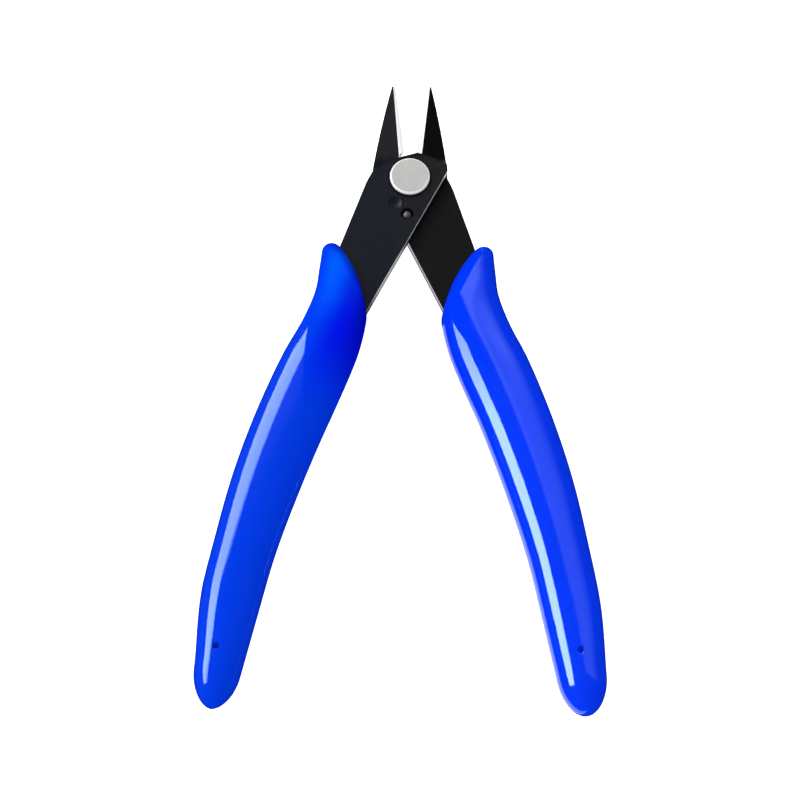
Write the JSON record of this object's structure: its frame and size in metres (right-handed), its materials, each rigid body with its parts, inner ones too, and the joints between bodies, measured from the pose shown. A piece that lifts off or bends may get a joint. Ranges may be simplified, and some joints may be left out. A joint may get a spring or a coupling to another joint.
{
  "type": "flush cutter",
  "caption": "Angled flush cutter: two lapped steel halves on a rivet, a hidden return spring and dipped grips.",
  "frame": {"origin": "middle of the open tool: on its centre line, at the plane where the two plates lap, half way along its length. The pivot axis is 45.33 mm from it towards the jaws", "axes": "+Z along the pivot towards the rivet head, +Y towards the jaws, +X to the right with the handles towards the reader"},
  "size_m": [0.0776, 0.1283, 0.012],
  "materials": {
    "blackened_steel": "black oxide, satin",
    "rivet_steel": "plain, fine turned",
    "spring_wire": "drawn spring wire",
    "grip_vinyl": "glossy dipped vinyl"
  },
  "bodies": {
    "rear_half": {"rear_blade": "blackened_steel", "right_grip": "grip_vinyl", "pivot_rivet": "rivet_steel", "return_spring": "spring_wire"},
    "front_half": {"front_blade": "blackened_steel", "left_grip": "grip_vinyl"}
  },
  "joints": [
    {"name": "pivot", "type": "hinge", "parent": "rear_half", "child": "front_half", "pos_m": [0, 0.04533, 0], "axis": [0, 0, 1], "range_deg": [0, 18.9], "stiffness_Nm_per_rad": 0.25, "springref_deg": -34.38, "deforming": ["return_spring"]}
  ]
}
